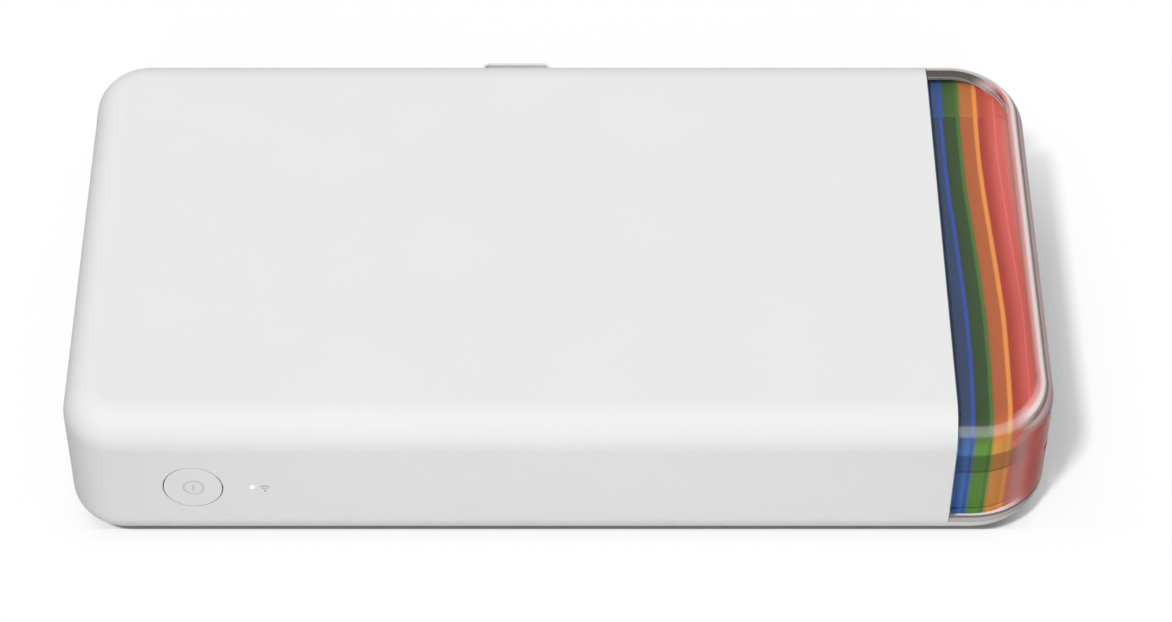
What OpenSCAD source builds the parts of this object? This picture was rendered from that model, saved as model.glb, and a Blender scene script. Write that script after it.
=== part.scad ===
// Compact photo printer with a clear end cap, a side-loading cartridge bay behind a hinged rear
// door, and a thermal transfer mechanism. X runs from the button end to the clear cap, Y from the
// front to the rear, Z up. The body is drawn about its own middle, and placed() at the end puts the
// origin on the table under the middle of the whole printer, pull tab included.

/* [Body] */
// Length of the body, from the left end to the clear cap's end
body_l = 150; // [148:0.5:156]
// Depth of the body, from the front face to the rear face
body_w = 80; // [79:0.5:86]
// Height of the top face above the table
body_h = 27; // [26.8:0.1:32]
// How far the rubber feet stand below the base
foot_proud = 0.5; // [0.3:0.1:0.8]
// Plan radius of the two corners at the button end
left_corner_r = 8.5; // [7.5:0.5:12]
// Plan radius of the two corners of the clear cap
right_corner_r = 12; // [9:0.5:14]
// Fillet round the top edge
top_edge_r = 5.4; // [5:0.1:6]
// Fillet round the base edge
base_edge_r = 5.2; // [5:0.1:5.4]
// Wall of the covers and of the clear cap
wall = 1.8; // [1.6:0.1:1.9]
// Height of the line where the upper shells meet the bottom cover
parting_z = 4.7; // [4.5:0.1:4.8]
// Height of the lip inside the parting line
lip_h = 1.2; // [0.8:0.1:1.4]
// Thickness of that lip
lip_t = 0.8; // [0.6:0.1:1]

/* [Clear cap] */
// Length of the clear cap along the body
cap_l = 15.5; // [15.5:0.1:16]
// Open seam between the cap and the white cover
seam_gap = 0.15; // [0.05:0.05:0.25]
// Air between the cap and its tinted liner
liner_gap = 0.2; // [0.1:0.05:0.3]
// Wall of the tinted liner
liner_t = 1; // [0.8:0.1:1.1]
// How far the liner reaches in under the white cover
liner_tuck = 2; // [1:0.5:2.5]
// Height of the liner's lower edge
liner_z = 6.3; // [6.1:0.1:7]
// Height of the middle of the print exit slot
slot_z = 13.6; // [13:0.1:14]
// Opening height of the exit slot
slot_h = 2; // [1.6:0.1:2.4]
// Length of the exit slot
slot_l = 66; // [64:0.5:66]

/* [Print and cartridge] */
// Length of a sheet of photo paper
paper_l = 86; // [85:0.5:86]
// Width of a sheet of photo paper
paper_w = 54; // [53:0.5:54]
// Thickness of the stack of sheets
stack_t = 2.8; // [1:0.2:3]
// Wall of the cartridge case
case_t = 1; // [0.8:0.1:1.1]
// Length of the cartridge across the printer
cartridge_w = 59; // [58.6:0.1:59.2]
// Outer radius of the two spool housings
housing_r = 5.2; // [5:0.1:5.2]
// Radius of the ribbon left on the supply spool
supply_roll_r = 4.1; // [2.6:0.1:4.1]
// Radius of the used ribbon on the take-up spool
take_up_roll_r = 3; // [2.6:0.1:4]
// Outer radius of the spool cores
core_r = 2.2; // [2:0.1:2.3]

/* [Rollers and head] */
// Radius of the capstan roller
capstan_r = 2.7; // [2.4:0.1:2.8]
// Radius of the pinch roller
pinch_r = 2.2; // [2:0.1:2.3]
// Radius of the rubber platen roller
platen_r = 2.9; // [2.6:0.1:3]
// Radius of the pick-up tyres
pickup_r = 3.6; // [3.2:0.1:3.8]
// Distance from the seam back to the capstan
capstan_inset = 9.5; // [9.4:0.1:9.8]
// Distance from the capstan back to the platen
platen_inset = 19.6; // [19.4:0.1:19.8]
// Nip left open between the capstan and the pinch roller
nip = 0.25; // [0.2:0.05:0.3]
// How far the print head turns from parked to printing
head_swing = 3.3; // [2.5:0.1:3.4]

/* [Gears] */
// Module of all the gears
gear_m = 0.5; // [0.48:0.01:0.5]
// Teeth on the capstan gear
capstan_teeth = 24; // [22:1:24]
// Teeth on the take-up gear
take_up_teeth = 18; // [18:1:18]
// Teeth on the motor pinion and on both small gears of the compounds
small_teeth = 14; // [14:1:15]
// Teeth on the large gear of the reduction compound
reduction_teeth = 32; // [30:1:32]
// Teeth on the large gear of the feed compound
feed_teeth = 30; // [28:1:30]
// Teeth on the pick-up gear
pickup_teeth = 34; // [32:1:34]
// Play between meshing teeth
backlash = 0.14; // [0.1:0.02:0.2]
// Face width of the gears next to the side plate
gear_a_w = 2; // [1.6:0.1:2.1]
// Face width of the gears next to the motor plate
gear_b_w = 1.8; // [1.4:0.1:1.9]
// Radius of the stepper motor's can
can_r = 7.5; // [6:0.1:7.5]
// Thickness of the stepper motor's can
can_h = 7.2; // [5:0.1:7.3]
// Thickness of the steel plates
plate_t = 0.8; // [0.6:0.1:0.9]

/* [Cartridge door] */
// Length of the rear door
door_l = 112; // [111.5:0.5:112.5]
// Height of the top of the door opening
door_top_z = 22.1; // [21.8:0.1:22.2]
// Gap round the closed door
door_gap = 0.25; // [0.2:0.05:0.3]
// Radius of the hinge barrel along the door's lower edge
barrel_r = 2; // [1.9:0.1:2.1]
// Radius of the hinge pins
hinge_pin_r = 0.7; // [0.5:0.05:0.9]
// Width of the hinge ears
ear_w = 3; // [2.5:0.5:5]
// Distance of each hinge ear from the end of the door
ear_inset = 9; // [8:0.5:14]
// Width of the pull tab
tab_w = 11.2; // [9:0.2:14]
// How far the pull tab stands out from the rear face
tab_out = 2.6; // [2:0.1:3]
// How far the pull tab sits from the door's middle, towards the clear cap
tab_offset = 0.7; // [0:0.1:2]
// Rim wall of the pull tab
tab_rim = 0.45; // [0.4:0.05:0.8]

/* [Power button] */
// Radius of the power button
button_r = 4.4; // [4.2:0.1:5]
// Distance of the button from the left end
button_inset = 19.5; // [18:0.1:20]
// Height of the button and of the status light
button_z = 13.2; // [12.5:0.1:14]
// Travel of the button
button_travel = 0.6; // [0.4:0.1:0.8]
// Ring gap round the button
button_gap = 0.2; // [0.15:0.05:0.25]
// Radius of the status light
light_r = 0.425; // [0.4:0.025:0.6]
// Distance from the button to the status light
light_step = 9; // [8.5:0.1:9.5]

/* [Power] */
// Thickness of the battery pack
battery_t = 7; // [5:0.1:8.4]
// Thickness of the circuit boards
board_t = 1; // [0.8:0.1:1]
// Width of the charge socket
socket_w = 8.9; // [8.5:0.1:9.2]
// Height of the charge socket
socket_h = 3.2; // [3:0.1:3.3]

/* [Base] */
// Radius of the rubber feet
foot_r = 3.5; // [3:0.1:4.5]
// Radius of the case screws' shanks
screw_r = 1; // [0.8:0.05:1.1]

/* [Hidden] */
$fn = 48;

far = 200;                    // reach of a cutting block
fit = 0.06;                   // running clearance of a shaft in its bore
play = 0.3;                   // free air between pieces that move past each other
eps = 0.01;                   // overlap that lets solids of one piece fuse

x0 = -body_l / 2;
x1 = body_l / 2;
y1 = body_w / 2;
base_z = foot_proud;
floor_z = base_z + wall;
ceiling_z = body_h - wall;
seam_x = x1 - cap_l;

// The chassis floor, and what stands on it
chassis_t = 0.8;
chassis_z = floor_z + 0.1;
deck_z = chassis_z + chassis_t;
case_z = deck_z + 0.2;
stack_z = case_z + case_t;
stack_top = stack_z + stack_t;
case_top_z = 9.6;             // top of the low tray part of the cartridge
shelf_z = case_top_z + 0.6;   // underside of the shelf that carries the battery
shelf_t = 1;
board_z = shelf_z + shelf_t + battery_t + 0.9;
board_top = board_z + board_t;

// Depth stations, from the door forward
axle_y = y1 - barrel_r;
case_y1 = y1 - 2 * barrel_r - play;
case_y0 = case_y1 - cartridge_w;
plate_y1 = case_y0 - 0.6;
plate_y0 = plate_y1 - plate_t;
gear_a_y = plate_y0 - play;
gear_b_y = gear_a_y - gear_a_w - play;
motor_plate_y = gear_b_y - gear_b_w - play;
can_y = motor_plate_y - plate_t;
paper_y0 = case_y0 + 1.6;
paper_y1 = paper_y0 + paper_w;
roller_y0 = paper_y0 + 0.3;
roller_y1 = paper_y1 + 0.3;
rear_plate_y = case_y1 - 2;

// Shaft places as [x, z]
capstan = [seam_x - capstan_inset, 9.5];
nip_z = capstan[1] + capstan_r;
pinch = [capstan[0], nip_z + nip + pinch_r];
platen = [capstan[0] - platen_inset, 6.2];
platen_top = platen[1] + platen_r;
spool_rise = 6.7;             // height of the spools over the capstan
head_room = 3.8;              // least room over the spool housings for the head's bracket
spool_z = min(capstan[1] + spool_rise, ceiling_z - housing_r - head_room);
take_up_reach = gear_m * (capstan_teeth + take_up_teeth) / 2;
take_up = [
  capstan[0] - sqrt(pow(take_up_reach, 2) - pow(spool_z - capstan[1], 2)), spool_z
];
supply = [platen[0] - 13.4, spool_z];
reduction_z = 11.6;
reduction_reach = gear_m * (take_up_teeth + small_teeth) / 2;
reduction = [
  take_up[0] - sqrt(pow(reduction_reach, 2) - pow(spool_z - reduction_z, 2)), reduction_z
];
motor_angle = 170;            // direction from the reduction gear to the motor
motor_reach = gear_m * (reduction_teeth + small_teeth) / 2;
motor = reduction + motor_reach * [cos(motor_angle), sin(motor_angle)];
feed_reach = gear_m * (feed_teeth + small_teeth) / 2;
feed = motor - [feed_reach, 0];
pickup_reach = gear_m * (pickup_teeth + small_teeth) / 2;
pickup_z = stack_z + 2.8 + 0.6 + pickup_r;
pickup = [feed[0] - sqrt(pow(pickup_reach, 2) - pow(feed[1] - pickup_z, 2)), pickup_z];

// Places along the cartridge
tray_x1 = platen[0] - platen_r - 1.1;
tray_x0 = tray_x1 - paper_l - 2 * case_t - 0.6;
stack_x0 = tray_x0 + case_t + 0.3;
lid_x1 = pickup[0] - pickup_r - 4.6;
bay_x0 = tray_x0 - 1.6;
bar_z0 = platen_top + 0.4;    // the bars that join the tray to the take-up housing
bar_z1 = bar_z0 + 0.9;

// Underside of the steel bracket that carries the print head, and its pivot
bracket_z = spool_z + housing_r + 1.2;
pivot = [capstan[0] + 3, bracket_z - 2];

// Door and tab
door_x = (x0 + seam_x) / 2;
door_x0 = door_x - door_l / 2;
door_x1 = door_x + door_l / 2;
axle_z = parting_z + play + barrel_r;
tab_x = door_x + tab_offset;
tab_z1 = door_top_z + 0.35;
tab_t = 1.6;
ears_x = [door_x0 + ear_inset, door_x1 - ear_inset - ear_w];

// Button and light
button_x = x0 + button_inset;
light_x = button_x + light_step;
flange_t = 0.8;
switch_y = -y1 + 7;
board_y = switch_y + 2.2;
plunger_r = 1;
board_margin = 6;

// Gear shafts and bushes
shaft_r = 1.5;
thin_shaft_r = 1;
bush_t = 1;
shaft_end_y = gear_a_y - gear_a_w;

// Feet and case screws
feet_at = [for (sx = [x0 + 14, seam_x - 1.5]) for (sy = [-1, 1]) [sx, sy * (y1 - 13)]];
cover_screws_at = [
  [x0 + 5.6, -y1 + 9], [x0 + 5.6, y1 - 9], [-25, -y1 + 6.2], [capstan[0] - 4, -y1 + 6.2]
];
cap_screws_at = [[x1 - 8, -y1 + 10], [x1 - 8, y1 - 10]];
boss_r = 2.3;
head_r = 1.8;
head_t = 1.3;
head_z = base_z + 0.6;
boss_z = parting_z + 0.3;

white = "#ebebeb";
steel = "#9a9da1";
acetal = "#f2efe4";
ink = "#26272a";

// --- shared shapes ---------------------------------------------------------------------------

// Half of an upright section through the body, drawn inwards from an edge that is reach away
module half_section(reach, inset) {
  top_r = top_edge_r - inset;
  base_r = base_edge_r - inset;
  low = base_z + inset;
  high = body_h - inset;
  out = reach - inset;
  intersection() {
    translate([0, low]) square([out, high - low]);
    union() {
      translate([0, low]) square([out - base_r, base_r]);
      translate([0, high - top_r]) square([out - top_r, top_r]);
      translate([0, low + base_r]) square([out, high - low - base_r - top_r]);
      translate([out - top_r, high - top_r]) circle(r = top_r);
      translate([out - base_r, low + base_r]) circle(r = base_r);
    }
  }
}

// The whole soft-edged body, moved in from its outer surface by inset
module rounded_body(inset = 0) {
  left = x0 + left_corner_r;
  right = x1 - right_corner_r;
  for (side = [0, 1]) mirror([0, side, 0]) {
    translate([left, y1 - left_corner_r, 0]) rotate(90) rotate_extrude(angle = 90)
      half_section(left_corner_r, inset);
    translate([right, y1 - right_corner_r, 0]) rotate_extrude(angle = 90)
      half_section(right_corner_r, inset);
    translate([left, 0, 0]) rotate([90, 0, 90]) linear_extrude(right - left)
      half_section(y1, inset);
  }
  translate([left, y1 - left_corner_r, 0]) rotate([90, 0, 0])
    linear_extrude(body_w - 2 * left_corner_r) mirror([1, 0]) half_section(left_corner_r, inset);
  translate([right, y1 - right_corner_r, 0]) rotate([90, 0, 0])
    linear_extrude(body_w - 2 * right_corner_r) half_section(right_corner_r, inset);
}

// A shell of the body between two insets, within a block
module body_shell(outer, inner, from, to) {
  difference() {
    intersection() {
      rounded_body(outer);
      translate(from) cube(to - from);
    }
    rounded_body(inner);
  }
}

// A block from one corner to the other
module block(from, to) {
  translate(from) cube(to - from);
}

// Children drawn in the plane of X and Z, carried from depth y towards the front by w
module upright(y, w) {
  translate([0, y, 0]) rotate([90, 0, 0]) linear_extrude(w) children();
}

// A round bar along Y at the shaft place c, from depth ya to yb
module bar(c, r, ya, yb) {
  translate([c[0], yb, c[1]]) rotate([90, 0, 0]) cylinder(r = r, h = yb - ya);
}

// A tube along Y
module tube(c, r, bore, ya, yb) {
  difference() {
    bar(c, r, ya, yb);
    bar(c, bore, ya - 1, yb + 1);
  }
}

// A rectangle with round corners, from one corner to the other
module soft_rect(from, to, r) {
  size = to - from;
  translate(from) {
    translate([r, 0]) square([size[0] - 2 * r, size[1]]);
    translate([0, r]) square([size[0], size[1] - 2 * r]);
    for (x = [r, size[0] - r]) for (y = [r, size[1] - r]) translate([x, y]) circle(r = r);
  }
}

// --- gears -----------------------------------------------------------------------------------

pressure = 20;
rad = 180 / PI;
function involute(a) = tan(a) - a / rad;
function pitch_r(n) = gear_m * n / 2;
// Half the angle that a tooth fills at radius r, in degrees
function half_tooth(n, r) =
  let (rp = pitch_r(n), a = acos(min(1, rp * cos(pressure) / r)))
  rad * ((PI * gear_m / 2 - backlash / 2) / (2 * rp) + involute(pressure) - involute(a));
function polar(r, a) = [r * cos(a), r * sin(a)];
flank_steps = 3;
addendum = 0.8 * gear_m;
dedendum = 1.1 * gear_m;
// One tooth's points, from its root on one side over the tip to the other
function tooth(n, turn) =
  let (
    base = pitch_r(n) * cos(pressure),
    root = pitch_r(n) - dedendum,
    tip = pitch_r(n) + addendum,
    start = max(base, root),
    radii = [for (i = [0 : flank_steps]) start + (tip - start) * i / flank_steps],
    rise = root < base ? [root] : [],
    out = concat(rise, radii)
  )
  concat(
    [for (r = out) polar(r, turn - half_tooth(n, max(r, base)))],
    [for (i = [len(out) - 1 : -1 : 0]) polar(out[i], turn + half_tooth(n, max(out[i], base)))]
  );
// The turn that puts gear b in mesh with gear a
function mesh_turn(a, na, turn, b, nb) =
  let (line = atan2(b[1] - a[1], b[0] - a[0]))
  line + 180 + 180 / nb - (turn - line) * na / nb;

module gear_outline(n, turn) {
  polygon([for (i = [0 : n - 1]) each tooth(n, turn + i * 360 / n)]);
}

// A gear at the shaft place c whose rear face is at depth y
module gear(c, n, turn, y, w) {
  translate([c[0], 0, c[1]]) upright(y, w) gear_outline(n, turn);
}

// Round holes that lighten a gear's web
module web_holes(c, reach, r, count, ya, yb) {
  for (i = [0 : count - 1]) bar(c + polar(reach, i * 360 / count + 20), r, ya, yb);
}

capstan_turn = 0;
take_up_turn = mesh_turn(capstan, capstan_teeth, capstan_turn, take_up, take_up_teeth);
reduction_turn = mesh_turn(take_up, take_up_teeth, take_up_turn, reduction, small_teeth);
reduction_big_turn = 0;
motor_turn = mesh_turn(reduction, reduction_teeth, reduction_big_turn, motor, small_teeth);
feed_turn = mesh_turn(motor, small_teeth, motor_turn, feed, feed_teeth);
feed_small_turn = 0;
pickup_turn = mesh_turn(feed, small_teeth, feed_small_turn, pickup, pickup_teeth);

// --- covers ----------------------------------------------------------------------------------

module cover_bosses(places, from_z) {
  for (p = places) translate([p[0], p[1], from_z]) cylinder(r = boss_r, h = far);
}

module screw_holes(places, from_z, depth) {
  for (p = places) translate([p[0], p[1], from_z]) cylinder(r = screw_r + fit, h = depth);
}

screw_top = 10.6;

module top_cover() {
  color(white) difference() {
    union() {
      body_shell(0, wall, [x0 - 1, -y1 - 1, parting_z], [seam_x, y1 + 1, far]);
      intersection() {
        cover_bosses(cover_screws_at, boss_z + 0.2);
        rounded_body(wall / 2);
      }
    }
    screw_holes(cover_screws_at, 0, screw_top + 0.6);
    block([door_x0, y1 - wall - 1, parting_z - 1], [door_x1, y1 + 1, door_top_z]);
    bar([button_x, button_z], button_r + button_gap, -y1 - 1, -y1 + wall + 1);
    bar([light_x, button_z], light_r + fit, -y1 - 1, -y1 + wall + 1);
    translate([x0 - 1, 0, socket_mid_z]) rotate([90, 0, 90])
      linear_extrude(wall + 2) socket_outline(0.25);
  }
}

module hinge_ears() {
  for (x = ears_x) {
    translate([x, axle_y, axle_z]) rotate([0, 90, 0]) cylinder(r = barrel_r - 0.1, h = ear_w);
    block(
      [x, axle_y - barrel_r + 0.1, parting_z - 0.6], [x + ear_w, axle_y + barrel_r - 0.35, axle_z]
    );
  }
}

module bottom_cover() {
  lip_out = wall + 0.1;
  color(white) difference() {
    union() {
      body_shell(0, wall, [x0 - 1, -y1 - 1, -1], [x1 + 1, y1 + 1, parting_z]);
      difference() {
        body_shell(
          lip_out - 0.2, lip_out + lip_t, [x0 - 1, -y1 - 1, 3.5], [x1 + 1, y1 + 1, parting_z + lip_h]
        );
        body_shell(-1, lip_out, [x0 - 2, -y1 - 2, parting_z], [x1 + 2, y1 + 2, parting_z + 2]);
        block([door_x0 - 1, 0, 0], [door_x1 + 1, y1 + 1, far]);
      }
      for (p = concat(cover_screws_at, cap_screws_at)) translate([p[0], p[1], floor_z - eps])
        cylinder(r = boss_r + 0.4, h = boss_z - floor_z);
      hinge_ears();
    }
    for (p = concat(cover_screws_at, cap_screws_at)) translate([p[0], p[1], base_z - 1])
      cylinder(r = head_r + 0.2, h = head_z - base_z + head_t + 1);
    screw_holes(concat(cover_screws_at, cap_screws_at), 0, far);
    for (p = feet_at) translate([p[0], p[1], base_z - 1]) cylinder(r = foot_r + 0.1, h = 1.5);
    translate([0, axle_y, axle_z]) rotate([0, 90, 0])
      cylinder(r = hinge_pin_r + fit, h = far, center = true);
  }
}

module rubber_feet() {
  color("#4b4c4e") for (p = feet_at) translate([p[0], p[1], 0]) {
    cylinder(r1 = foot_r - 0.25, r2 = foot_r, h = 0.25);
    translate([0, 0, 0.25]) cylinder(r = foot_r, h = base_z + 0.25);
  }
}

module case_screws() {
  color(steel) for (p = concat(cover_screws_at, cap_screws_at)) difference() {
    translate([p[0], p[1], head_z]) {
      cylinder(r = head_r, h = head_t);
      cylinder(r = screw_r, h = screw_top - head_z);
    }
    for (turn = [0, 90]) translate([p[0], p[1], head_z]) rotate(turn)
      cube([1.8, 0.4, 1.2], center = true);
  }
}

module end_cap() {
  color("#6b5453", 0.4) difference() {
    body_shell(0, wall, [seam_x + seam_gap, -y1 - 1, parting_z], [x1 + 1, y1 + 1, far]);
    exit_slot(0);
  }
}

// The exit slot with round ends, cut through along X; grow opens it all round
module exit_slot(grow) {
  half = slot_h / 2 + grow;
  translate([seam_x - 8, 0, slot_z]) rotate([90, 0, 90]) linear_extrude(far)
    soft_rect([-slot_l / 2 - grow, -half], [slot_l / 2 + grow, half], half - eps);
}

module tint_liner() {
  skin = wall + liner_gap;
  color("#d0755a", 0.8) difference() {
    body_shell(
      skin, skin + liner_t, [seam_x - liner_tuck, -y1, liner_z], [x1, y1, far]
    );
    exit_slot(0.2);
  }
}

module exit_guide() {
  guide_inset = wall + liner_gap + liner_t + 1.2;
  guide_x = seam_x + 0.7;
  chute_z = [capstan[1] + 1.3, slot_z + 2.4];
  color(white) difference() {
    union() {
      intersection() {
        rounded_body(guide_inset);
        union() {
          block([guide_x, -y1, slot_z - 5.6], [x1, y1, slot_z + 7.4]);
          block([x1 - 10.4, -y1, slot_z - 6.6], [x1, y1, slot_z - 5]);
        }
      }
      block(
        [capstan[0] + 5.2, paper_y0 + 0.4, chute_z[0]], [guide_x + 1, paper_y1 - 0.4, chute_z[1]]
      );
      for (p = cap_screws_at) translate([p[0], p[1], boss_z + 0.2])
        cylinder(r = boss_r, h = slot_z - boss_z);
    }
    exit_slot(-0.1);
    translate([capstan[0] + 5.2, 0, 0]) rotate([90, 0, 0])
      linear_extrude(paper_w + 8, center = true)
        polygon([[-1, slot_z - 2.2], [4, slot_z - 0.8], [4, slot_z + 0.8], [-1, slot_z + 2.2]]);
    screw_holes(cap_screws_at, 0, screw_top + 0.6);
  }
}

// --- cartridge door --------------------------------------------------------------------------

module cartridge_door() {
  left = door_x0 + door_gap;
  right = door_x1 - door_gap;
  high = door_top_z - door_gap;
  notch_r = barrel_r + play;
  color(white) difference() {
    union() {
      intersection() {
        body_shell(0, wall, [left, y1 - wall - 1, axle_z], [right, y1 + 1, high]);
        translate([0, y1 + 1, 0]) rotate([90, 0, 0]) linear_extrude(wall + 2)
          soft_rect([left, axle_z - 4], [right, high], 1.4);
      }
      translate([left, axle_y, axle_z]) rotate([0, 90, 0]) cylinder(r = barrel_r, h = right - left);
      // stiffening ribs inside
      for (i = [1 : 8]) block(
        [left + i * (door_l - 1) / 9 - 0.5, y1 - wall - 0.6, axle_z + 3.4],
        [left + i * (door_l - 1) / 9 + 0.5, y1 - wall + 0.2, high - 2.4]
      );
      block([left + 3, y1 - wall - 0.6, high - 2.4], [right - 3, y1 - wall + 0.2, high - 1.6]);
      block([door_x - 4, y1 - wall - 1.2, high - 2.4], [door_x + 4, y1 - wall + 0.2, high - 1.2]);
      pull_tab();
    }
    for (x = ears_x) {
      block(
        [x - play, axle_y - 3, axle_z - 3], [x + ear_w + play, y1 + 1, axle_z + notch_r]
      );
    }
    translate([0, axle_y, axle_z]) rotate([0, 90, 0]) cylinder(r = hinge_pin_r, h = far, center = true);
    // finger scoop behind the rim
    translate([tab_x, 0, tab_z1 - 1.1]) linear_extrude(2)
      soft_rect(
        [-tab_w / 2 + tab_rim, y1 + 0.15], [tab_w / 2 - tab_rim, y1 + tab_out - tab_rim], 0.7
      );
  }
}

// A thin-rimmed scoop on the door's upper edge; above the opening it stays clear of the cover
module pull_tab() {
  high = door_top_z - door_gap;
  translate([tab_x, 0, 0]) difference() {
    translate([0, 0, tab_z1 - tab_t]) linear_extrude(tab_t)
      soft_rect([-tab_w / 2, y1 - wall], [tab_w / 2, y1 + tab_out], 1.3);
    block([-tab_w, y1 - wall - 1, high], [tab_w, y1 + 0.15, far]);
  }
}

// Bowed strips that hold the cartridge against the side plate
module door_spring() {
  spring_t = 0.2;
  half = 14;
  seat_y = y1 - wall - 0.6;
  rise = seat_y - case_y1 - play - spring_t;
  bow_r = (half * half + rise * rise) / (2 * rise);
  color("#b98a4e") for (x = [door_x - 30, door_x + 34]) intersection() {
    translate([x, seat_y - rise + bow_r, axle_z + 7]) difference() {
      cylinder(r = bow_r + spring_t, h = 4, center = true, $fn = 360);
      cylinder(r = bow_r, h = 5, center = true, $fn = 360);
    }
    block([x - half, 0, 0], [x + half, seat_y, far]);
  }
}

// Sprung strip under the ceiling whose nose rests behind the door's upper edge
module door_catch() {
  nose_z = door_top_z - 0.85;
  rise = ceiling_z - nose_z;
  strip_t = 0.25;
  color("#b98a4e") translate([door_x + 4, y1 - wall, 0]) rotate([90, 0, -90]) linear_extrude(8)
    polygon([
      [10, ceiling_z], [3.9, ceiling_z], [1.35, nose_z + 0.19 * rise], [0.85, nose_z + 0.37 * rise],
      [0.65, nose_z + 0.33 * rise], [1.35, nose_z + 0.06 * rise], [4.1, ceiling_z - strip_t],
      [10, ceiling_z - strip_t]
    ]);
}

module hinge_pins() {
  color(steel) for (x = ears_x) translate([x - 4, axle_y, axle_z]) rotate([0, 90, 0])
    cylinder(r = hinge_pin_r, h = ear_w + 8);
}

// --- power button and light ------------------------------------------------------------------

module power_button() {
  at = [button_x, button_z];
  color(white) {
    bar(at, button_r, -y1, -y1 + wall + 0.2);
    bar(at, button_r + 0.8, -y1 + wall + 0.15, -y1 + wall + 0.15 + flange_t);
    bar(at, plunger_r + 0.3, -y1 + wall + flange_t, switch_y - 1);
    for (turn = [0, 60, 120]) translate([button_x, -y1 + wall + flange_t, button_z])
      rotate([0, turn, 0]) translate([-3.6, 0, -0.3]) cube([7.2, 0.7, 0.6]);
  }
}

module switch_plunger() {
  color(ink) bar([button_x, button_z], plunger_r, switch_y - 1, switch_y + 0.8);
}

module power_switch() {
  color(steel) difference() {
    block([button_x - 2.3, switch_y, button_z - 2.3], [button_x + 2.3, board_y, button_z + 2.3]);
    bar([button_x, button_z], plunger_r + fit, switch_y - 1, switch_y + 0.8 + button_travel + 0.1);
  }
}

module button_board() {
  low = deck_z + 0.4;
  color("#2f6b45") block(
    [button_x - board_margin, board_y, low],
    [light_x + board_margin, board_y + board_t, button_z + board_margin]
  );
  color("#f4f2e8") block(
    [light_x - 0.8, board_y - 0.6, button_z - 0.5], [light_x + 0.8, board_y + eps, button_z + 0.5]
  );
}

module status_lens() {
  at = [light_x, button_z];
  color("#f7f7f5") {
    bar(at, light_r, -y1, -y1 + wall + 0.1);
    bar(at, light_r + 0.7, -y1 + wall + 0.05, -y1 + wall + 0.8);
    bar(at, light_r + 0.3, -y1 + wall + 0.7, board_y - 0.6);
  }
}

// --- boards, socket and battery --------------------------------------------------------------

socket_mid_z = board_z - socket_h / 2;
socket_l = 7.3;
chassis_wall = 1;

module socket_outline(grow) {
  soft_rect(
    [-socket_w / 2 - grow, -socket_h / 2 - grow], [socket_w / 2 + grow, socket_h / 2 + grow],
    socket_h / 2 - 0.1
  );
}

module usb_socket() {
  color(steel) {
    translate([x0 + 0.5, 0, socket_mid_z]) rotate([90, 0, 90]) difference() {
      linear_extrude(socket_l) socket_outline(0);
      translate([0, 0, -1]) linear_extrude(socket_l - 0.4) socket_outline(-0.35);
    }
    // contact tongue
    block([x0 + 1.4, -3.2, socket_mid_z - 0.35], [x0 + socket_l + 0.4, 3.2, socket_mid_z + 0.35]);
  }
}

shelf_x1 = lid_x1 + 0.6;
board_x0 = x0 + 2.6;
board_x1 = lid_x1 - 2.6;
board_y0 = plate_y1 - 0.9;
board_y1 = case_y1 - 2.6;

module main_board() {
  color("#2f6b45") difference() {
    block([board_x0, board_y0, board_z], [board_x1, board_y1, board_top]);
    // round cut-outs clear the case bosses
    for (p = cover_screws_at) translate([p[0], p[1], 0]) cylinder(r = boss_r + 0.5, h = far);
  }
}

// Each chip is [x, y, length, width, height], from the board's left front corner
chips = [
  [12, 10, 10, 10, 1.1], [26, 12, 6, 8, 0.9], [12, 26, 7, 7, 1], [36, 8, 12, 9, 1.2],
  [24, 30, 5, 6, 0.9], [34, 26, 8, 8, 2.2], [46, 24, 5, 5, 2], [12, 40, 14, 10, 1.6],
  [34, 42, 8, 5, 1.4]
];

module board_chips() {
  color(ink) for (c = chips) translate([board_x0 + c[0], board_y0 + c[1], board_top])
    cube([c[2], c[3], c[4]]);
}

module battery_pack() {
  low = shelf_z + shelf_t;
  color("#3c4a78") translate([bay_x0 + 2.6, 0, low + battery_t / 2]) rotate([0, 90, 0])
    linear_extrude(board_x1 - bay_x0 - 6.4)
      soft_rect(
        [-battery_t / 2, plate_y1 + 3], [battery_t / 2, case_y1 - 8.4], 1.2
      );
}

// --- chassis and plates ----------------------------------------------------------------------

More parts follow.
